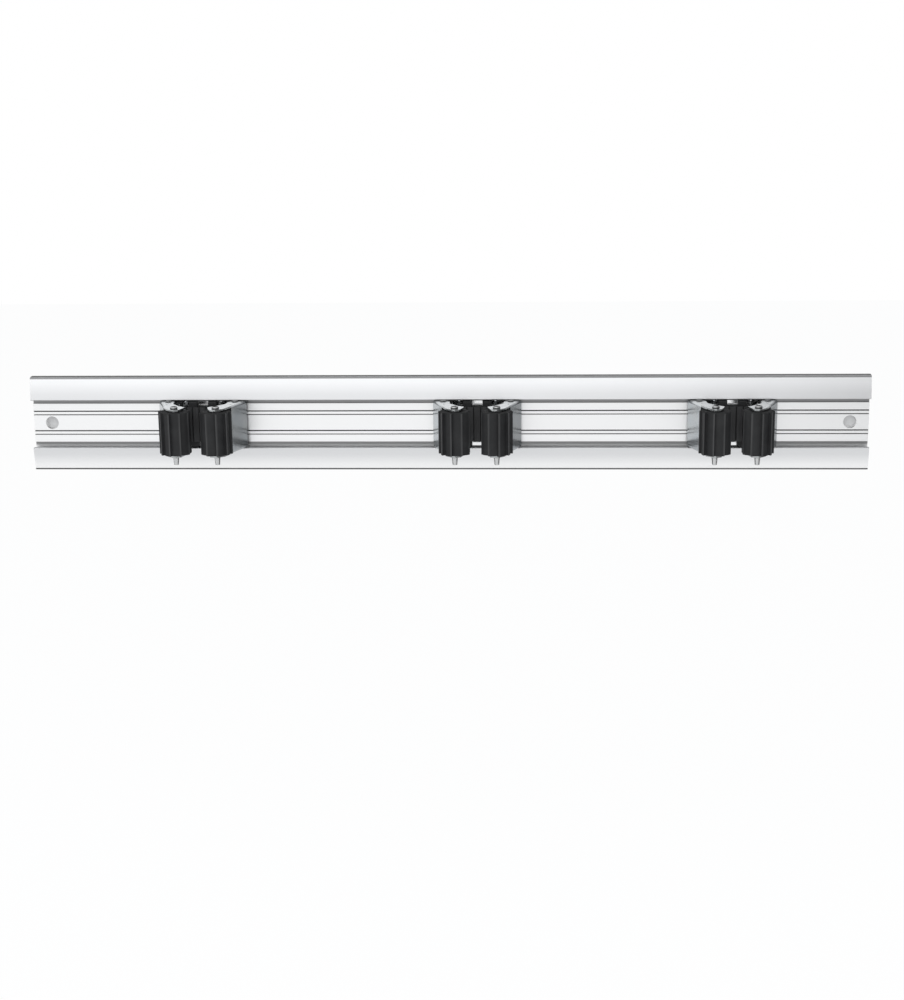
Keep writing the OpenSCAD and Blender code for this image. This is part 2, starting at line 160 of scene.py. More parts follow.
class Tree:
    def __init__(self, owner):
        owner.use_nodes = True
        self.owner, self.nodes, self.links = owner, owner.node_tree.nodes, owner.node_tree.links
        self.nodes.clear()

    def outputs(self, kind, inputs=None, **settings):
        """Adds a node and returns its outputs by name. An input is a Value or a constant."""
        made = self.nodes.new(kind)
        for key, setting in settings.items():
            setattr(made, key, setting)
        for key, given in (inputs or {}).items():
            if isinstance(given, Value):
                self.links.new(given.socket, made.inputs[key])
            else:
                made.inputs[key].default_value = given
        return {socket.name: Value(self, socket) for socket in made.outputs if socket.enabled}

    def add(self, kind, inputs=None, **settings):
        """Adds a node and returns its first output."""
        return next(iter(self.outputs(kind, inputs, **settings).values()))

    def mix_shaders(self, amount, first, second):
        return self.add("ShaderNodeMixShader", {0: amount, 1: first, 2: second})

    def white_rays(self):
        """1 for the rays that see the studio as white: camera, glossy and transmission rays."""
        ray = self.outputs("ShaderNodeLightPath")
        return ray["Is Camera Ray"] + ray["Is Glossy Ray"] + ray["Is Transmission Ray"]

    def show(self, surface, output="ShaderNodeOutputMaterial"):
        """Joins the surface to the output and returns the world or material."""
        self.outputs(output, {"Surface": surface})
        return self.owner


print("made the classes", Value.__name__, "and", Tree.__name__)

# %% [markdown]
# ## The studio
# The rack is photographed against plain white. The room and the floor are white where the camera
# looks, and the lamps stay soft and low, so that a colour renders about as it is written. A small
# piece of wall right behind the rail lies in shade and shows through the screw holes. Metal shows
# what stands round it, so four glowing grey cards stand there that only reflections see. The card
# behind the rail darkens what faces up, and the one below darkens the rounds that face down, so the
# rail's edges show as dark lines. The card in front on the right darkens the rail towards its
# right-hand end, and the one at the right shades the right-hand webs of the arms.

# %% A white room and soft light
ROOM_COLOUR, ROOM_STRENGTH = rgb(0.96, 0.98, 1.0), 0.86

studio = Tree(bpy.data.worlds.new("studio"))
room_light = studio.add("ShaderNodeBackground", {"Color": ROOM_COLOUR, "Strength": ROOM_STRENGTH})
room_white = studio.add("ShaderNodeBackground", {"Color": grey(1), "Strength": 1.0})
room = studio.mix_shaders(studio.white_rays(), room_light, room_white)
bpy.context.scene.world = studio.show(room, "ShaderNodeOutputWorld")


def softbox(name, place, width, height, power):
    """A lamp that the camera doesn't see, aimed at the middle of the rail's back."""
    data = bpy.data.lights.new(name, "AREA")
    data.shape, data.size, data.size_y = "RECTANGLE", width, height
    data.energy = power
    lamp = new_object(name, data)
    lamp.location = place
    lamp.rotation_euler = (-Vector(place)).to_track_quat("-Z", "Y").to_euler()
    lamp.visible_camera = False


softbox("key_light", (-0.6, -1.3, 1.2), width=2.2, height=1.4, power=9)
softbox("fill_light", (1.0, -1.6, 0.4), width=1.4, height=1.2, power=4)


# %% Floor and wall
def new_tree(name):
    """The empty tree of a new material."""
    return Tree(bpy.data.materials.new(name))


def card(name, low, high, material):
    """A card between two opposite corners, which have one coordinate in common."""
    (x, y, z), (far_x, far_y, far_z) = low, high
    if z == far_z:
        corners = [(x, y, z), (far_x, y, z), (far_x, far_y, z), (x, far_y, z)]
    else:
        corners = [(x, y, z), (far_x, far_y, z), (far_x, far_y, far_z), (x, y, far_z)]
    data = bpy.data.meshes.new(name)
    data.from_pydata(corners, [], [(0, 1, 2, 3)])
    data.materials.append(material)
    made = new_object(name, data)
    return made


def floor_finish(level, glow):
    """A matt floor that keeps shadows. White rays see it mixed with white, by the share glow."""
    tree = new_tree("pale_floor")
    matt = tree.add("ShaderNodeBsdfDiffuse", {"Color": grey(level)})
    white = tree.add("ShaderNodeEmission", {"Color": grey(1), "Strength": 1.0})
    return tree.show(tree.mix_shaders(glow * tree.white_rays(), matt, white))


def wall_finish(level):
    """A matt wall that is clear from behind."""
    tree = new_tree("wall_in_shade")
    matt = tree.add("ShaderNodeBsdfDiffuse", {"Color": grey(level)})
    behind = tree.outputs("ShaderNodeNewGeometry")["Backfacing"]
    clear = tree.add("ShaderNodeBsdfTransparent")
    return tree.show(tree.mix_shaders(behind, matt, clear))


card("floor", (-3, -4, -0.32), (3, 3, -0.32), floor_finish(level=0.97, glow=0.88))
wall = card("wall_behind_rail", mm(-248, 0.8, -27), mm(248, 0.8, 27), wall_finish(level=0.62))
wall.visible_glossy = wall.visible_diffuse = wall.visible_shadow = False


# %% Cards that only reflections see
def reflected_card(name, low, high, finish_name, level):
    """A card that glows in an even grey."""
    tree = new_tree(finish_name)
    shine = tree.add("ShaderNodeEmission", {"Color": grey(level), "Strength": 1.0})
    made = card(name, low, high, tree.show(shine))
    made.visible_camera = made.visible_diffuse = False
    made.visible_shadow = made.visible_transmission = False


reflected_card("card_behind", (-1.2, 0.30, 0.05), (1.2, 0.30, 0.42), "shade_card", 0.20)
reflected_card("card_below", (-0.9, -0.14, -0.30), (0.9, 0.60, -0.30), "dark_card", 0.10)
reflected_card("card_front_right", (0.50, -1.75, -0.8), (2.2, -1.75, 1.2), "pale_grey_card", 0.30)
reflected_card("card_right", (0.75, -1.7, -0.6), (0.75, 0.3, 0.6), "grey_card", 0.27)

# %% [markdown]
# ## Finishes
# Every finish is built from the object's own coordinates in metres, so a grain of a given size
# stays that size on every piece. A photograph of each metal could be wrapped round the pieces
# instead, but it would need a map for each one and would repeat. Noise needs neither.

# %% What finishes are made of
class Finish(Tree):
    # The Mix node has a pair of inputs for each type of data. These two are for colours.
    MIX_FIRST, MIX_SECOND = 6, 7

    def __init__(self, name):
        super().__init__(bpy.data.materials.new(name))

    def place(self, scale=(1, 1, 1)):
        """The object's own coordinates, in metres, times scale."""
        own = self.outputs("ShaderNodeTexCoord")["Object"]
        return self.add("ShaderNodeMapping", {"Vector": own, "Scale": scale})

    def split(self, vector):
        """The x, y and z of a vector."""
        return list(self.outputs("ShaderNodeSeparateXYZ", {"Vector": vector}).values())

    def normal(self):
        """The x, y and z of the direction that the surface faces."""
        return self.split(self.outputs("ShaderNodeNewGeometry")["Normal"])

    def depth_and_height(self):
        """How far a point is from the wall, and above the rail's middle line, in mm."""
        out_of_wall, up = self.split(self.place((1000, 1000, 1000)))[1:]
        return 0 - out_of_wall, up

    def grain(self, scale, detail=3.0, roughness=0.5, stretch=(1, 1, 1)):
        """Noise from 0 to 1: scale is how many lumps lie in a metre."""
        return self.add("ShaderNodeTexNoise", {
            "Vector": self.place(stretch), "Scale": scale, "Detail": detail, "Roughness": roughness})

    def share(self, name):
        """A share from 0 to 1 that the mesh carries as an attribute."""
        return self.outputs("ShaderNodeAttribute", attribute_name=name)["Fac"]

    def ramp(self, value, stops):
        """Takes value through stops of (place, level)."""
        ramped = self.add("ShaderNodeValToRGB", {"Fac": value})
        ramp = ramped.socket.node.color_ramp
        while len(ramp.elements) < len(stops):
            ramp.elements.new(0.5)
        for element, (place, level) in zip(ramp.elements, stops):
            element.position = place
            element.color = grey(level)
        return ramped

    def mix(self, amount, first, second):
        """A colour between first and second."""
        colours = {self.MIX_FIRST: first, self.MIX_SECOND: second}
        return self.add("ShaderNodeMix", {"Factor": amount, **colours}, data_type="RGBA")

    def bump(self, height, depth):
        """A relief of height, from 0 to 1, that is as deep as depth, in metres."""
        return self.add("ShaderNodeBump", {"Height": height, "Distance": depth, "Strength": 1.0})

    def principled(self, **inputs):
        """Shows a Principled BSDF. Base_Color stands for its input Base Color, and so on."""
        named = {key.replace("_", " "): given for key, given in inputs.items()}
        return self.show(self.add("ShaderNodeBsdfPrincipled", named))


print("made the class", Finish.__name__)

# %% [markdown]
# ## Satin anodised aluminium
# The rail is pressed through a die, which draws fine lines along it, and is anodised to a satin
# grey. The lines change the roughness more than the colour. Grooves a millimetre wide get little
# light. Lamps alone leave them too pale in a picture this small, so painted shade darkens the tone
# there, in bands measured from the rail's section: along the ribs, beside the land, under the lips
# and on the lips' edges. Painted shade also darkens the flanges towards the slot and the outer
# rounds, which draws the rail's edges as dark lines, and painted light brightens the land, the floor
# of the slot and the lower flange towards its bottom. A depth is measured from the wall and a height
# from the rail's middle line.

# %% Bands of the rail's section, in mm, and the painted shade across each one's width
RIB_HEIGHT, RIB_SIDE, GROOVE_SIDE = 6.0, 0.58, 1.42
GROOVE_FLOOR, GROOVE_MOUTH, SLOT_FRONT = 1.0, 2.6, 3.0
LAND_HEIGHT, POCKET_WIDTH = 11.7, 5.0
LIP_HEIGHT, LIP_EDGE_TOP, LIP_EDGE_BACK, LIP_BACK = 14.5, 14.80, 4.70, 4.75
FLANGE_WIDTH, OUTER_ROUND, OUTER_BACK = 12.5, 27.0, 5.2
POCKET_LIGHT = [(0.0, 0.26), (0.29, 0.26), (0.41, 0.58), (0.52, 0.82), (0.66, 0.86), (1.0, 0.36)]
FLANGE_LIGHT = [(0.0, 0.83), (0.3, 0.85), (0.6, 0.93), (0.8, 0.98), (1.0, 1.0)]
OUTER_SHADE = [(0.0, 0.0), (0.12, 0.0), (0.34, 1.0), (1.0, 1.0)]
LOWER_FLANGE_SHARE = [(0.0, 0.0), (0.35, 0.0), (0.9, 1.0)]


def band_light(paint, depth, level):
    """How light each band is painted, from 0 to 1, as painted shade, and where the lips' edges are."""
    height = level.size()
    from_rib = (height - RIB_HEIGHT).size()
    grooves = from_rib.between(RIB_SIDE, GROOVE_SIDE) * depth.between(GROOVE_FLOOR, GROOVE_MOUTH)
    pocket = height.above(LAND_HEIGHT) * depth.between(GROOVE_FLOOR, LIP_BACK)
    pocket_light = paint.ramp((height - LAND_HEIGHT) * (1 / POCKET_WIDTH), POCKET_LIGHT)
    lip_edges = height.between(LIP_HEIGHT, LIP_EDGE_TOP) * depth.above(LIP_EDGE_BACK)
    flange = height.above(LIP_HEIGHT) * depth.above(LIP_BACK)
    flange_light = paint.ramp((height - LIP_HEIGHT) * (1 / FLANGE_WIDTH), FLANGE_LIGHT)
    outer_edges = paint.ramp(height - OUTER_ROUND, OUTER_SHADE) * depth.above(OUTER_BACK)
    # Painted shade: darker in the grooves, the pockets, on the lips' edges, on the flanges towards the slot and on
    # the outer rounds.
    light = 1 - grooves * 0.93
    light = light * (1 - pocket * (1 - pocket_light)) * (1 - lip_edges * 0.22)
    light = light * (1 - flange * (1 - flange_light)) * (1 - 0.76 * outer_edges)
    return light, lip_edges


print("bands from", RIB_HEIGHT - GROOVE_SIDE, "to", OUTER_ROUND, "mm from the middle line")


# %% Mix the finish of the rail
def anodised_aluminium():
    paint = Finish("anodised_aluminium")
    die_lines = paint.grain(1.0, detail=4, roughness=0.7, stretch=(3, 4200, 4200))
    broad_lines = paint.grain(1.0, detail=2, stretch=(1.5, 420, 420))
    saw_lines = paint.grain(1.0, detail=3, stretch=(1, 2600, 160))
    cloud = paint.grain(14, detail=3)
    depth, level = paint.depth_and_height()
    light, lip_edges = band_light(paint, depth, level)
    sawn = paint.normal()[0].size().above(0.9)
    back = 1 - depth.above(0.02)
    in_slot = 1 - depth.above(SLOT_FRONT)
    below_lip = (-LIP_HEIGHT - level) * (1 / FLANGE_WIDTH)
    lower_flange = paint.ramp(below_lip, LOWER_FLANGE_SHARE) * depth.above(LIP_BACK)

    dull, clear, bright = rgb(0.60, 0.61, 0.63), rgb(0.895, 0.905, 0.92), rgb(0.96, 0.965, 0.97)
    cut, painted_band_shade = rgb(0.74, 0.75, 0.76), rgb(0.03, 0.03, 0.032)
    tone = paint.mix(0.90 + 0.06 * cloud + 0.05 * die_lines, dull, clear)
    # Painted light brightens what lies near the wall, such as the land, and the lower flange towards its bottom.
    tone = paint.mix(0.75 * in_slot, tone, bright)
    tone = paint.mix(lower_flange, tone, bright)
    tone = paint.mix(sawn * 0.5, tone, cut)
    # Painted shade darkens the tone where the bands' light is low.
    tone = paint.mix(light, painted_band_shade, tone)
    rough = 0.26 + 0.12 * die_lines + 0.06 * broad_lines + 0.04 * cloud
    rough = rough + 0.16 * sawn + 0.10 * back + 0.25 * lip_edges
    relief = paint.bump(die_lines + 0.6 * sawn * saw_lines, 0.000006)
    return paint.principled(Base_Color=tone, Metallic=1.0, Roughness=rough, Normal=relief)


FINISHES = {"anodised_aluminium": anodised_aluminium()}
print("finishes", list(FINISHES))

# %% [markdown]
# ## Bright zinc on pressed sheet
# Bases and arms are pressed from steel sheet and plated. Thin zinc looks like a soft mirror with a
# faint blue cast. One even grey metal would look like paint, so the rolled sheet shows through as a
# fine grain, a crystal pattern breaks up the shine, and sliding parts leave soft grey marks. Painted
# shade darkens the ears a little, and their rear part under the rail's lip much more, where they are
# also duller. Painted light brightens the base.

# %% Mix the finish of the sheet metal
BASE_DEPTH, EAR_HEIGHT, LIP_SHADE_DEPTH, LIP_SHADE_WIDTH = 5.0, 13.6, 8, 10
LIP_SHADE_SHARE = [(0.0, 1.0), (0.30, 0.9), (0.52, 0.0)]
MARKS_SHARE = [(0.0, 0.0), (0.60, 0.0), (0.74, 1.0)]


def zinc_steel():
    paint = Finish("zinc_steel")
    rolled = paint.grain(1.0, detail=3, roughness=0.6, stretch=(900, 900, 260))
    cloud = paint.grain(90, detail=2)
    crystals = paint.add("ShaderNodeTexVoronoi", {"Vector": paint.place(), "Scale": 900})
    marks = paint.ramp(paint.grain(520, detail=5, roughness=0.75), MARKS_SHARE)
    depth, level = paint.depth_and_height()
    on_base = 1 - depth.above(BASE_DEPTH)
    on_ears = level.size().above(EAR_HEIGHT)
    # Painted shade on the rear part of the ears, under the rail's lip; it also dulls them there.
    lip_shade = paint.ramp((depth - LIP_SHADE_DEPTH) * (1 / LIP_SHADE_WIDTH), LIP_SHADE_SHARE) * on_ears

    blue_zinc, grey_zinc = rgb(0.43, 0.47, 0.505), rgb(0.57, 0.58, 0.575)
    painted_ear_shade, painted_base_light = rgb(0.387, 0.395, 0.388), rgb(0.93, 0.935, 0.94)
    tone = paint.mix(cloud, blue_zinc, grey_zinc)
    # Painted shade darkens the ears a little.
    tone = paint.mix(0.6 * on_ears, tone, painted_ear_shade)
    # Painted light brightens the base, which lies in the shade of the lips.
    tone = paint.mix(0.85 * on_base, tone, painted_base_light)
    tone = paint.mix(0.85 * lip_shade, tone, rgb(0.055, 0.056, 0.058))
    tone = paint.mix(0.10 * crystals, tone, rgb(0.42, 0.45, 0.48))
    tone = paint.mix(0.35 * marks, tone, rgb(0.36, 0.38, 0.40))
    rough = 0.17 + 0.09 * rolled + 0.12 * marks + 0.04 * cloud - 0.09 * on_base + 0.25 * lip_shade
    relief = paint.bump(rolled + 0.3 * crystals, 0.0000012)
    metal = 1 - 0.5 * lip_shade
    return paint.principled(Base_Color=tone, Metallic=metal, Roughness=rough, Normal=relief)


FINISHES["zinc_steel"] = zinc_steel()
print("finishes", list(FINISHES))

# %% [markdown]
# ## Turned steel
# Pins, bushes and spring wire are brighter than the sheet and carry fine rings from their making.
# They differ only in tone and roughness, so one function makes all three. Where a piece lies in
# shade, its mesh carries a share as an attribute, which darkens and dulls it there as painted shade.

# %% Mix the finishes of pins, wire and bushes
def turned_steel(name, tone_low, tone_high, roughness):
    paint = Finish(name)
    rings = paint.grain(1.0, detail=3, stretch=(500, 500, 6000))
    cloud = paint.grain(300, detail=2)
    soil = paint.share("soil")
    clean = paint.mix(cloud, tone_low, tone_high)
    # Painted shade, from the share on the mesh, darkens the pin.
    tone = paint.mix(0.93 * soil, clean, rgb(0.02, 0.02, 0.021))
    rough = roughness + 0.10 * rings + 0.3 * soil
    relief = paint.bump(rings, 0.000006)
    return paint.principled(Base_Color=tone, Metallic=1.0, Roughness=rough, Normal=relief)


for name, tone_low, tone_high, roughness in (
        ("bright_steel", rgb(0.56, 0.58, 0.60), rgb(0.68, 0.68, 0.67), 0.15),
        ("spring_steel", rgb(0.62, 0.63, 0.65), rgb(0.76, 0.76, 0.76), 0.18),
        ("bush_steel", rgb(0.46, 0.48, 0.50), rgb(0.56, 0.57, 0.57), 0.24)):
    FINISHES[name] = turned_steel(name, tone_low, tone_high, roughness)
print("finishes", list(FINISHES))

# %% [markdown]
# ## Black moulded rubber
# Rubber is never quite black: it is dusty where it is touched least, and the mould leaves a fine
# matt grain. The tips of the teeth are lighter, as in the photograph: a painted highlight. The
# fronts of the buffer's ribs are rubbed lighter. Both could be painted as an image. Here each roller
# and buffer carries them as an attribute of its own surface, from 0 in the hollows to 1 on the tips,
# so they follow the shape by themselves. Painted shade darkens the ends.

# %% Mix the finish of the rubber
DUST_SHARE = [(0.0, 0.0), (0.42, 0.0), (0.78, 1.0)]
SPECKS_SHARE = [(0.0, 0.0), (0.70, 0.0), (0.76, 1.0)]
WEAR_AND_HIGHLIGHT_SHARE = [(0.0, 0.0), (0.42, 0.0), (0.90, 1.0)]


def black_rubber():
    paint = Finish("black_rubber")
    mould = paint.grain(5200, detail=2)
    patches = paint.grain(110, detail=4, roughness=0.6)
    streaks = paint.grain(1.0, detail=3, stretch=(1300, 1300, 60))
    dust = paint.ramp(patches, DUST_SHARE)
    specks = paint.ramp(paint.grain(2600, detail=1), SPECKS_SHARE)
    wear_and_highlight = paint.ramp(0.85 * paint.share("rub") + 0.22 * streaks, WEAR_AND_HIGHLIGHT_SHARE)
    ends = paint.normal()[2].size().above(0.5)

    clean, dusty = rgb(0.0125, 0.013, 0.014), rgb(0.030, 0.031, 0.032)
    tone = paint.mix(0.5 * dust, clean, dusty)
    # Painted highlight on the tips of the teeth, and wear on the fronts of the buffer's ribs.
    tone = paint.mix(0.9 * wear_and_highlight, tone, rgb(0.100, 0.100, 0.101))
    # Painted shade darkens the end faces, which are also duller.
    tone = paint.mix(0.6 * ends, tone, rgb(0.006, 0.006, 0.0065))
    tone = paint.mix(0.30 * specks, tone, rgb(0.060, 0.060, 0.059))
    rough = 0.46 + 0.13 * patches + 0.10 * mould - 0.06 * wear_and_highlight + 0.2 * ends
    relief = paint.bump(mould + 0.3 * patches, 0.00003)
    return paint.principled(Base_Color=tone, Roughness=rough, Specular_IOR_Level=0.28, Normal=relief)


FINISHES["black_rubber"] = black_rubber()
print("finishes", list(FINISHES))

# %% Dress the solids
SLOT_OF = {row["node"]: row["material_slot"] for row in frame["record"]["subparts"]}


def dress(piece, slot):
    """Gives a piece the finish of a material slot, and no other."""
    piece.data.materials.clear()
    piece.data.materials.append(FINISHES[slot])


for node, slot in SLOT_OF.items():
    dress(frame["nodes"][node], slot)
print("dressed", len(SLOT_OF), "solids")

# %% [markdown]
# ## Modelling tools
# Each new piece is made as by hand: a primitive is added at its place, worked in edit mode, and
# given its modifiers. An operator works on everything that is selected, so each piece starts with
# nothing selected. A shell is closed in the same way every time, so that it has no doubled corner
# and no slit, and its wide faces stay flat beside their rounded edges.

# %% Select, edit and close a piece
MERGE_DISTANCE = 0.000002


def nothing_selected():
    if bpy.context.object and bpy.context.object.mode != "OBJECT":
        bpy.ops.object.mode_set(mode="OBJECT")
    bpy.ops.object.select_all(action="DESELECT")


def work_on(piece):
    """Makes piece the active object and the only selected one."""
    nothing_selected()
    bpy.context.view_layer.objects.active = piece
    piece.select_set(True)


def edit(mode, everything=False):
    """Enters edit mode to work on vertices, edges or faces, and may select everything."""
    bpy.ops.object.mode_set(mode="EDIT")
    bpy.ops.mesh.select_mode(type=mode)
    if everything:
        bpy.ops.mesh.select_all(action="SELECT")


def weigh_normals(piece):
    """Keeps a wide face flat, so that only the narrow bevel beside it turns the light."""
    work_on(piece)
    if piece.data.has_custom_normals:
        bpy.ops.mesh.customdata_custom_splitnormals_clear()
    weigh = piece.modifiers.new("weigh", "WEIGHTED_NORMAL")
    weigh.keep_sharp, weigh.weight = True, 80
    bpy.ops.object.modifier_apply(modifier="weigh")


def close_shell(angle=35):
    """Merges doubles, closes what slits that leaves, and smooths all but the sharp edges."""
    bpy.ops.object.mode_set(mode="OBJECT")
    edit("VERT", everything=True)
    bpy.ops.mesh.remove_doubles(threshold=MERGE_DISTANCE)
    bpy.ops.mesh.fill_holes(sides=4)
    bpy.ops.mesh.normals_make_consistent(inside=False)
    bpy.ops.object.mode_set(mode="OBJECT")
    bpy.ops.object.shade_smooth_by_angle(angle=math.radians(angle))
    weigh_normals(bpy.context.object)
    return bpy.context.object


def soften(width, segments=2, angle=30):
    """A bevel, as wide as width in mm, on every edge sharper than the angle."""
    bevel = bpy.context.object.modifiers.new("soften", "BEVEL")
    bevel.width, bevel.segments = width * MM, segments
    bevel.limit_method, bevel.angle_limit = "ANGLE", math.radians(angle)
    bpy.ops.object.modifier_apply(modifier="soften")


print("corners closer than", MERGE_DISTANCE / MM, "mm are merged")

# %% [markdown]
# ## Copies for three holders and their two sides
# The rack has three or six of every piece but the rail. A loop could model each one, but a pattern
# that is made once, for a holder at X = 0, keeps them all alike. Each copy gets its own mesh, takes
# its finish from the record, rides on its body where one is given, and takes the place of its
# solid, which is hidden. The holder is the same on both sides, so a right-hand piece is the mirrored
# left-hand one.

# %% Copy a pattern to its places
HOLDERS = {}
for name in ("holder1", "holder2", "holder3"):
    low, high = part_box(f"{name}_base")
    HOLDERS[name] = ((low + high) / 2).x


def move_along(piece, distance):
    """Moves the mesh along the rail, by a distance in metres."""
    piece.data.transform(Matrix.Translation((distance, 0, 0)))


def copy_of(pattern, name, shift, mirrored):
    """A copy with its own mesh, mirrored in the holder's middle plane and moved along the rail."""
    made = pattern.copy()
    made.data = pattern.data.copy()
    made.name = made.data.name = name
    bpy.context.scene.collection.objects.link(made)
    if mirrored:
        made.data.transform(Matrix.Scale(-1, 4, (1, 0, 0)))
        made.data.flip_normals()
        weigh_normals(made)
    move_along(made, shift)
    return made


def fit_out(pattern, piece_name, node_name, body_name=None, sides=("left", "right")):
    """Copies a left-hand pattern, made for a holder at X = 0, to every holder and side."""
    made = []
    pattern.name = "pattern"
    for holder, x in HOLDERS.items():
        for side in sides:
            node = node_name.format(holder=holder, side=side)
            piece = copy_of(pattern, f"{holder}_{piece_name}_{side}".strip("_"), x, side == "right")
            dress(piece, SLOT_OF[node])
            if body_name:
                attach(piece, body_name.format(holder=holder, side=side))
            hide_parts(node)
            made.append(piece)
    bpy.data.objects.remove(pattern, do_unlink=True)
    print(piece_name, len(made), "pieces of", len(made[0].data.polygons), "faces")
    return made


print("holders stand at", {name: round(x, 4) for name, x in HOLDERS.items()})

# %% [markdown]
# ## Rail, bases and arms
# The rail is an extrusion, and bases and arms are folded sheet. Their solids already have the true
# shape, so nothing is modelled again. What a solid lacks is the small round of a real edge, which
# catches the light. A copy of each is merged, its flat triangles are dissolved into whole faces,
# and a narrow bevel runs along every sharp edge.

# %% Ease the edges of the rail
def eased(node, width, angle=32):
    made = new_object(node + "_eased", frame["nodes"][node].data.copy())
    work_on(made)
    edit("VERT", everything=True)
    bpy.ops.mesh.customdata_custom_splitnormals_clear()
    bpy.ops.mesh.remove_doubles(threshold=MERGE_DISTANCE)
    bpy.ops.mesh.dissolve_limited(angle_limit=math.radians(0.6), delimit=set())
    bpy.ops.object.mode_set(mode="OBJECT")
    before = len(made.data.polygons)
    soften(width, angle=angle)
    close_shell(angle)
    print(node, before, "faces, eased to", len(made.data.polygons))
    return made


rail = eased("rail", 0.16)
dress(rail, "anodised_aluminium")
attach(rail, "rail")
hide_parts("rail")


# %% Ease bases and arms
def eased_pattern(node, width):
    """An eased copy of a node of holder 1, moved to X = 0, where fit_out copies it from."""
    made = eased(node, width)
    move_along(made, -HOLDERS["holder1"])
    return made


base = eased_pattern("holder1_base", 0.14)
fit_out(base, "base_eased", "{holder}_base", "{holder}", sides=("",))
arm = eased_pattern("holder1_arm_left", 0.14)
fit_out(arm, "arm_eased", "{holder}_arm_{side}", "{holder}_arm_{side}")

# %% [markdown]
# ## Rollers
# A roller is moulded rubber with nine ratchet teeth, pressed on a steel bush. It could be extruded
# from a drawn outline, but a cylinder with six upright edges to a tooth already has them in order.
# Each edge is moved to its place in the tooth: the flank climbs slowly round the roller and drops
# back in one step. The ends are then sunk a little round the bush, a drill makes the bore, and a
# bevel rounds the moulded edges.

# %% Measure a roller and its axis in the frame
JOINTS = {joint["name"]: joint for joint in frame["joints"]}


def axis_place(joint_name):
    """Where an upright joint axis of holder 1 stands, seen from the holder's middle."""
    return Vector(JOINTS[joint_name]["pos_m"]) - Vector((HOLDERS["holder1"], 0, 0))


roller_low, roller_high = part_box("holder1_roller_left")
roller_height = roller_high.z - roller_low.z
roller_place = axis_place("holder1_roller_left_spin")
pivot_place = axis_place("holder1_arm_left_hinge")
print("roller height", round(roller_height / MM, 2), "at", [round(v / MM, 2) for v in roller_place])
print("pivot at", [round(v / MM, 2) for v in pivot_place])

# %% Move the upright edges of a cylinder to the outline of the teeth
TEETH, EDGES = 9, 6
TIP, TOOTH_DEPTH = 10.0, 1.8
FIRST_STEP, DROP = -6.0, 1.5
PITCH = 360 / TEETH
OUTLINE = TEETH * EDGES


def tooth_point(number):
    """The place, in mm, of an upright edge. They are numbered round the roller."""
    tooth, edge = divmod(number, EDGES)
    along = edge / (EDGES - 1)
    angle = math.radians(FIRST_STEP + tooth * PITCH + DROP + (PITCH - DROP) * along)
    radius = TIP - TOOTH_DEPTH * (1 - along)
    return radius * math.sin(angle), -radius * math.cos(angle)


nothing_selected()
bpy.ops.mesh.primitive_cylinder_add(
    vertices=OUTLINE, radius=TIP * MM, depth=roller_height, end_fill_type="NGON")
roller = bpy.context.object
edit("VERT")
mesh = bmesh.from_edit_mesh(roller.data)
for vert in mesh.verts:
    share = math.degrees(math.atan2(vert.co.x, -vert.co.y)) / 360
    vert.co.x, vert.co.y = mm(*tooth_point(round(share * OUTLINE) % OUTLINE))
bmesh.update_edit_mesh(roller.data)
print("roller outline of", OUTLINE, "edges")


# %% Sink the ends round the bush, drill the bore and round the edges
def pick(kind, question):
    """Selects only the verts, edges or faces for which question is true, and counts them."""
    bpy.ops.mesh.select_all(action="DESELECT")
    mesh = bmesh.from_edit_mesh(bpy.context.object.data)
    chosen = [part for part in getattr(mesh, kind) if question(part)]
    for part in chosen:
        part.select_set(True)
    mesh.select_flush_mode()
    bmesh.update_edit_mesh(bpy.context.object.data)
    return len(chosen)


def combine(piece, others, operation="UNION"):
    """Unites other solids with piece, or takes them away with DIFFERENCE, one Boolean each."""
    for other in others:
        work_on(piece)
        step = piece.modifiers.new("step", "BOOLEAN")
        step.operation, step.object, step.solver = operation, other, "EXACT"
        bpy.ops.object.modifier_apply(modifier="step")
        bpy.data.objects.remove(other, do_unlink=True)


RIM, SLOPE, SINK, BORE = 3.2, 0.3, 0.4, 3.02

ends = pick("faces", lambda face: len(face.verts) == OUTLINE)
bpy.ops.mesh.inset(thickness=RIM * MM, depth=0)
bpy.ops.mesh.inset(thickness=SLOPE * MM, depth=-SINK * MM)
nothing_selected()
bpy.ops.mesh.primitive_cylinder_add(vertices=48, radius=BORE * MM, depth=roller_height * 2)
combine(roller, [bpy.context.object], "DIFFERENCE")
soften(0.22, segments=3, angle=28)
print("sunk ends", ends, "faces", len(roller.data.polygons))

# %% Cut a row of corners near each end, and paint a highlight on the tips of the teeth between them
ROW_DEPTH, BARE_END = 0.6, 0.4
HIGHLIGHT_START, HIGHLIGHT_WIDTH = 8.7, 1.1

edit("VERT")
for end in (-1, 1):
    bpy.ops.mesh.select_all(action="SELECT")
    row_height = end * (roller_height / 2 - ROW_DEPTH * MM)
    bpy.ops.mesh.bisect(plane_co=(0, 0, row_height), plane_no=(0, 0, 1))
bpy.ops.object.mode_set(mode="OBJECT")


def write_share(piece, name, amount):
    """Writes a share from 0 to 1 at each vertex, such as how much painted highlight it gets, as an attribute."""
    layer = piece.data.attributes.new(name, "FLOAT", "POINT")
    for vert, value in zip(piece.data.vertices, layer.data):
        value.value = max(0.0, min(1.0, amount(vert.co)))


def highlighted_tip(co):
    """Painted highlight: 0 in the hollows and near the ends, 1 on the tips of the teeth."""
    near_end = abs(co.z) > roller_height / 2 - BARE_END * MM
    return 0 if near_end else (math.hypot(co.x, co.y) / MM - HIGHLIGHT_START) / HIGHLIGHT_WIDTH


def settle():
    """Puts the piece's place into its mesh, as a CAD node's is."""
    bpy.ops.object.transform_apply(location=True, rotation=True, scale=True)


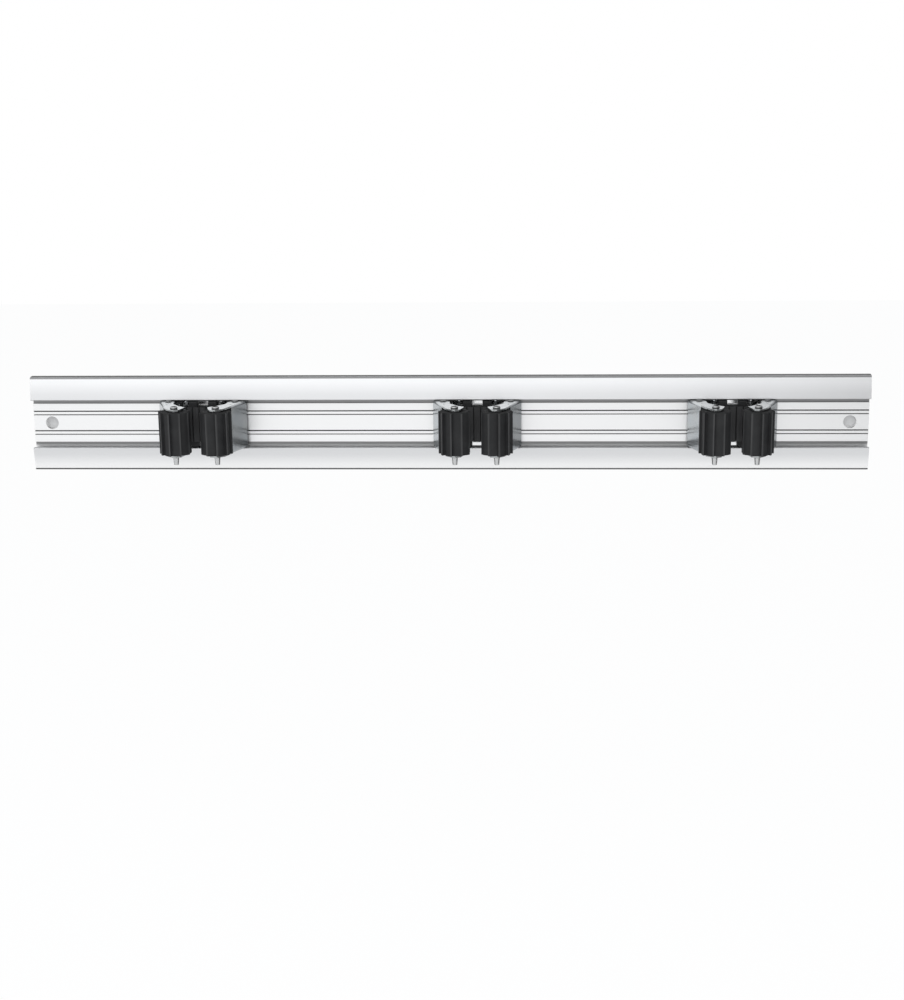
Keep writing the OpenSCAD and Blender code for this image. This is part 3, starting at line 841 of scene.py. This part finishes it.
# A painted highlight on the tips of the teeth.
write_share(roller, "rub", highlighted_tip)
roller.location = roller_place
settle()
close_shell(angle=40)
fit_out(roller, "roller_toothed", "{holder}_roller_{side}", "{holder}_roller_{side}")

# %% [markdown]
# ## Pins and bushes
# One riveted pin holds each arm on its base, and a tubular pin carries each roller. They are turned
# parts, so half their outline is drawn point by point and spun, which gives rounder heads than
# stacked cylinders would. The roller pin has a dished head, is beaded over below the lower ear and
# ends in a hollow tapered tail. A bush is a plain tube, so its solid is eased like the sheet metal.

# %% Draw a profile and spin it
def draw(points):
    """A new mesh of edges: one vertex is extruded from point to point, and it stays in edit mode."""
    nothing_selected()
    bpy.ops.mesh.primitive_plane_add(size=MM)
    edit("VERT", everything=True)
    bpy.ops.mesh.merge(type="CENTER")
    bpy.ops.transform.translate(value=points[0])
    for before, after in zip(points, points[1:]):
        step = [b - a for a, b in zip(before, after)]
        bpy.ops.mesh.extrude_region_move(TRANSFORM_OT_translate={"value": step})


def revolve(profile, place, steps=40):
    """Turns a profile of (radius, height) points in mm round an upright axis at place."""
    draw([(place[0] + radius * MM, place[1], height * MM) for radius, height in profile])
    bpy.ops.mesh.select_all(action="SELECT")
    bpy.ops.mesh.spin(steps=steps, angle=math.tau, center=(place[0], place[1], 0), axis=(0, 0, 1))
    return close_shell()


pin_low, pin_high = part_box("holder1_roller_pin_left")
HEAD_HEIGHT = 1.2
EAR = pin_high.z / MM - HEAD_HEIGHT
TAIL = pin_low.z / MM
print("ear's outer face at", round(EAR, 2), "tail ends at", round(TAIL, 2))

# %% Roller pins
dish = [(0, 0.44), (0.5, 0.44), (0.75, 0.4), (0.95, 0.42), (1.05, 0.55), (1.12, 0.95), (1.25, 1.14)]
rim = [(1.55, 1.2), (1.9, 1.14), (2.12, 0.9), (2.2, 0.5), (2.2, 0.12), (2.1, 0), (1.8, 0)]
bead = [(1.8, 0), (1.95, 0), (2.08, 0.15), (2.1, 0.4), (2.0, 0.62), (1.8, 0.8), (1.76, 1.15)]
tail = [(1.42, 0.3), (1.36, 0.08), (1.26, 0), (1.12, 0), (1.05, 0.1), (1.05, 3.4), (0.6, 3.9), (0, 4.0)]
profile = [(radius, EAR + up) for radius, up in dish + rim]
profile += [(radius, -EAR - down) for radius, down in bead]
profile += [(radius, TAIL + up) for radius, up in tail]
roller_pin = revolve(profile, roller_place)


def shaded_dish(co):
    """Painted shade in the dish of the head, under its rim and inside the tail, and a little elsewhere."""
    radius, height = math.hypot(co.x - roller_place.x, co.y - roller_place.y) / MM, co.z / MM
    in_dish = height > EAR + 0.3 and radius < 1.6
    on_head = height > EAR - 0.1
    under_rim = height < EAR + 0.55 and radius > 1.7
    in_tail = height < TAIL + 4.2 and radius < 1.1
    if in_dish:
        return 1 if radius > 0.7 else 0.6
    if on_head:
        return 0.85 if under_rim else 0.3
    return 1 if in_tail else 0.1


write_share(roller_pin, "soil", shaded_dish)
fit_out(roller_pin, "roller_pin_turned", "{holder}_roller_pin_{side}", "{holder}_arm_{side}")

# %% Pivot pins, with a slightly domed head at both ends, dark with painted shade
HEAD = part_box("holder1_pivot_pin_left")[1].z / MM
dome = [(0, 0), (1.2, 0), (1.6, 0.03), (1.83, 0.12), (1.9, 0.26), (1.9, 0.42), (1.83, 0.5), (1.5, 0.5)]
half = [(radius, HEAD - down) for radius, down in dome]
pivot_pin = revolve(half + [(radius, -height) for radius, height in reversed(half)], pivot_place)
# Painted shade darkens the whole pivot pin.
write_share(pivot_pin, "soil", lambda co: 0.85)
fit_out(pivot_pin, "pivot_pin_turned", "{holder}_pivot_pin_{side}", "{holder}")

# %% Bushes
bush = eased_pattern("holder1_roller_bush_left", 0.1)
fit_out(bush, "roller_bush_eased", "{holder}_roller_bush_{side}", "{holder}_roller_{side}")

# %% [markdown]
# ## Rubber buffers
# A buffer lies behind the rollers and cushions what is pushed between them. It is one moulding: a
# pad with five upright ribs, four horns that fill the slot above and below, and two plugs that sit
# in the base.
# Ribs and horns run in different directions, so no single outline gives the whole form. The pad
# starts as a block. It is bisected at the ribs, the crown of each rib is drawn forward, and
# Booleans cut the grooves and join on horns and plugs.

# %% A block between two corners
def block(low, high):
    """A box from corner to corner, in mm as (x, distance from the wall, z)."""
    nothing_selected()
    bpy.ops.mesh.primitive_cube_add(size=1)
    made = bpy.context.object
    x, depth, z = ((a + b) / 2 for a, b in zip(low, high))
    made.scale = [abs(b - a) * MM for a, b in zip(low, high)]
    made.location = mm(x, -depth, z)
    settle()
    return made


buffer_low, buffer_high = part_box("holder1_buffer")
BASE_FRONT, PAD_FRONT = 4.6, -buffer_low.y / MM
HORN_TOP = buffer_high.z / MM
print("buffer front at", round(PAD_FRONT, 2), "horns to", round(HORN_TOP, 2))

# %% The ribbed pad
RIBS, PAD_HALF, PAD_HEIGHT = 5, 10.3, 10.5
CROWN, CROWN_START, CROWN_END = 0.35, 0.34, 0.66
GROOVE, GROOVE_HALF, GROOVE_HEIGHT = 1.0, 0.38, 12
RIB_PITCH = 2 * PAD_HALF / RIBS

pad = block((-PAD_HALF, BASE_FRONT, -PAD_HEIGHT), (PAD_HALF, PAD_FRONT - CROWN, PAD_HEIGHT))
edit("FACE")
for rib in range(RIBS):
    for place in (CROWN_START, CROWN_END):
        bpy.ops.mesh.select_all(action="SELECT")
        cut_x = (-PAD_HALF + RIB_PITCH * (rib + place)) * MM
        bpy.ops.mesh.bisect(plane_co=(cut_x, 0, 0), plane_no=(1, 0, 0))


def middle(part):
    """The middle of an edge or a face."""
    return sum((vert.co for vert in part.verts), Vector()) / len(part.verts)


def on_crown(face):
    """Whether a face lies on the front of a rib, between the two cuts."""
    across = (middle(face).x / MM + PAD_HALF) / RIB_PITCH % 1
    return face.normal.y < -0.9 and CROWN_START + 0.01 < across < CROWN_END - 0.01


crowns = pick("faces", on_crown)
bpy.ops.transform.translate(value=(0, -CROWN * MM, 0))
grooves = []
for number in range(RIBS + 1):
    x = -PAD_HALF + RIB_PITCH * number
    low = (x - GROOVE_HALF, PAD_FRONT - GROOVE, -GROOVE_HEIGHT)
    high = (x + GROOVE_HALF, PAD_FRONT + 1, GROOVE_HEIGHT)
    grooves.append(block(low, high))
combine(pad, grooves, "DIFFERENCE")
print("crowns", crowns, "faces", len(pad.data.polygons))

# %% Horns, whose backs lie a little in front of the pad's, so that no two faces share a plane
HORN_IN, HORN_OUT, HORN_BACK, HORN_FRONT = 3.2, 8.4, BASE_FRONT + 0.05, 8.0
HORN_ROUND, HORN_EASE, PAD_OVERLAP = 1.2, 0.35, 1


def on_horn_tip(edge):
    """Whether an edge lies at the front of a horn and at its far end."""
    place = middle(edge)
    return place.y < (-HORN_FRONT + 0.1) * MM and abs(place.z) > (HORN_TOP - 0.1) * MM


def on_horn_side(edge):
    """Whether an edge runs along the side of a horn, clear of its back."""
    first, second = (vert.co.x for vert in edge.verts)
    return abs(first - second) < 0.01 * MM and middle(edge).y < (-BASE_FRONT - 0.5) * MM


extras = []
for side in (-1, 1):
    for up in (-1, 1):
        root = (side * HORN_IN, HORN_BACK, up * (PAD_HEIGHT - PAD_OVERLAP))
        extras.append(block(root, (side * HORN_OUT, HORN_FRONT, up * HORN_TOP)))
        edit("EDGE")
        pick("edges", on_horn_tip)
        bpy.ops.mesh.bevel(offset=HORN_ROUND * MM, segments=5)
        pick("edges", on_horn_side)
        bpy.ops.mesh.bevel(offset=HORN_EASE * MM, segments=3)
print("horns", len(extras))

# %% Plugs, and all joined
PLUG_RADIUS, PLUG_LENGTH, PLUG_DEPTH = 2.5, 1.8, 4.2
RIB_RUB, RIB_RUB_START, RIB_RUB_WIDTH = 0.6, 0.45, 0.5

for up in (-1, 1):
    nothing_selected()
    bpy.ops.mesh.primitive_cylinder_add(
        vertices=40, radius=PLUG_RADIUS * MM, depth=PLUG_LENGTH * MM,
        location=mm(0, -PLUG_DEPTH, up * PAD_HEIGHT / 2), rotation=(math.pi / 2, 0, 0))
    settle()
    extras.append(bpy.context.object)
combine(pad, extras)
soften(0.22, segments=3, angle=25)


def rubbed_rib(co):
    """0 in the grooves, and more towards the front of the ribs."""
    return RIB_RUB * (-co.y / MM - (PAD_FRONT - RIB_RUB_START)) / RIB_RUB_WIDTH


write_share(pad, "rub", rubbed_rib)
close_shell(angle=40)
fit_out(pad, "buffer_moulded", "{holder}_buffer", "{holder}", sides=("",))

# %% [markdown]
# ## Torsion springs
# Each arm is closed by a wound spring. Its lower end sits in the base, it winds six times round the
# pivot, and its upper end runs along the arm and hooks into the ear. Blender can screw a circle
# into a coil, but the straight ends would have to be joined on. The wire is one curve with a round
# bevel instead, made a mesh.

# %% The path of the wire
LEAN = math.atan2(roller_place.x - pivot_place.x, pivot_place.y - roller_place.y)
COIL, WIRE, TURNS, RISE, LEG = 2.05, 0.4, 6, 1.7, 9.0
COIL_LOW = -TURNS * RISE / 2
PIVOT_DEPTH, SEAT_DEPTH = 10.5, 3.4
STEPS_PER_TURN, BEND_STEP, BEND_RADIUS = 28, 15, 1
HOOK_START, HOOK_END = 1.6, 0.2


def wire_path():
    """Points in mm from the pivot axis, from the seat in the base to the hole in the ear."""
    points = [(-COIL, y, COIL_LOW) for y in (PIVOT_DEPTH - SEAT_DEPTH, 4.0, 1.2)]
    steps = TURNS * STEPS_PER_TURN
    for step in range(steps + 1):
        angle = math.pi + (TURNS * math.tau + LEAN) * step / steps
        rise = TURNS * RISE * step / steps
        points.append((COIL * math.cos(angle), COIL * math.sin(angle), COIL_LOW + rise))
    x, y, z = points[-1]

    def on_leg(along, up=0):
        """A point of the upper leg, which runs along the arm."""
        return x + along * math.sin(LEAN), y - along * math.cos(LEAN), z + up

    points += [on_leg(along) for along in (1.5, 4.5, LEG - BEND_RADIUS)]
    for turn in range(BEND_STEP, 91, BEND_STEP):
        bend = math.radians(turn)
        along = LEG - BEND_RADIUS + BEND_RADIUS * math.sin(bend)
        points.append(on_leg(along, BEND_RADIUS * (1 - math.cos(bend))))
    hook_x, hook_y = points[-1][:2]
    return points + [(hook_x, hook_y, EAR - HOOK_START), (hook_x, hook_y, EAR - HOOK_END)]


print("wire of", len(wire_path()), "points, arm leans", round(math.degrees(LEAN), 2))


# %% Wind the springs
def wound_spring():
    curve = bpy.data.curves.new("wire", "CURVE")
    curve.dimensions, curve.use_fill_caps = "3D", True
    curve.bevel_depth, curve.bevel_resolution = WIRE * MM, 2
    path = wire_path()
    spline = curve.splines.new("POLY")
    spline.points.add(len(path) - 1)
    for point, (x, y, z) in zip(spline.points, path):
        point.co = (pivot_place.x + x * MM, pivot_place.y + y * MM, z * MM, 1)
    work_on(new_object("wire", curve))
    bpy.ops.object.convert(target="MESH")
    return close_shell(angle=50)


springs = fit_out(wound_spring(), "spring_wound", "{holder}_spring_{side}")
for spring in springs:
    holder, side = spring.name.split("_")[0], spring.name.split("_")[-1]
    x, y = JOINTS[f"{holder}_arm_{side}_hinge"]["pos_m"][:2]
    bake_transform(spring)
print("springs", [spring.name for spring in springs])
